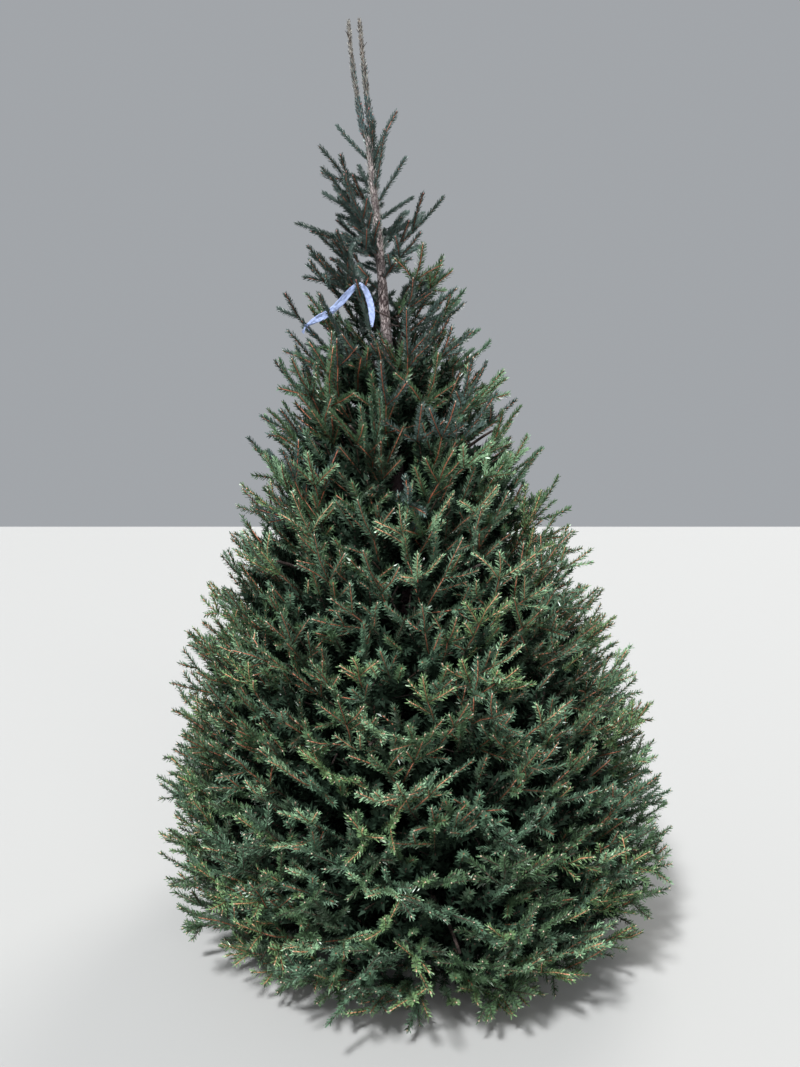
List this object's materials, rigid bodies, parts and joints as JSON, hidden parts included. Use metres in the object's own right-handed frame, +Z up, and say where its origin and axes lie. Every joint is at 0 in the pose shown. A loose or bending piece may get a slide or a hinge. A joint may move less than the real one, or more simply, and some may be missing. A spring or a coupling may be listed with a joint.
{
  "type": "spruce tree",
  "caption": "Young spruce tree, cone-shaped and dense to the ground, with a slightly leaning tapered trunk, whorled boughs and a thin open spire with a forked leader.",
  "frame": {"origin": "middle of the flat cut under the trunk, at ground level", "axes": "+Z up along the tree's height; the tree leans slightly towards -X; the pictured side faces -Y"},
  "size_m": [1.8065, 1.8102, 3.2087],
  "materials": {
    "bark": "fine flaking grey-brown bark, matt",
    "needles": "dark green needles, slight waxy sheen"
  },
  "bodies": {
    "root": {"bough_2_1": "bark", "bough_2_2": "bark", "bough_2_3": "bark", "bough_2_4": "bark", "bough_3_1": "bark", "bough_3_2": "bark", "bough_3_3": "bark", "bough_3_4": "bark", "bough_3_5": "bark", "bough_4_1": "bark", "bough_4_2": "bark", "bough_4_3": "bark", "bough_4_4": "bark", "bough_4_5": "bark", "bough_5_1": "bark", "bough_5_2": "bark", "bough_5_3": "bark", "bough_5_4": "bark", "bough_5_5": "bark", "foliage_1_1": "needles", "foliage_1_2": "needles", "foliage_1_3": "needles", "foliage_1_4": "needles", "foliage_2_1": "needles", "foliage_2_2": "needles", "foliage_2_3": "needles", "foliage_2_4": "needles", "foliage_3_1": "needles", "foliage_3_2": "needles", "foliage_3_3": "needles", "foliage_3_4": "needles", "foliage_3_5": "needles", "foliage_4_1": "needles", "foliage_4_2": "needles", "foliage_4_3": "needles", "foliage_4_4": "needles", "foliage_4_5": "needles", "foliage_5_1": "needles", "foliage_5_2": "needles", "foliage_5_3": "needles", "foliage_5_4": "needles", "foliage_5_5": "needles", "leader_left": "needles", "leader_right": "needles", "spire_shoot_1": "needles", "spire_shoot_10": "needles", "spire_shoot_11": "needles", "spire_shoot_12": "needles", "spire_shoot_13": "needles", "spire_shoot_14": "needles", "spire_shoot_15": "needles", "spire_shoot_2": "needles", "spire_shoot_3": "needles", "spire_shoot_4": "needles", "spire_shoot_5": "needles", "spire_shoot_6": "needles", "spire_shoot_7": "needles", "spire_shoot_8": "needles", "spire_shoot_9": "needles", "trunk": "bark"}
  },
  "joints": []
}
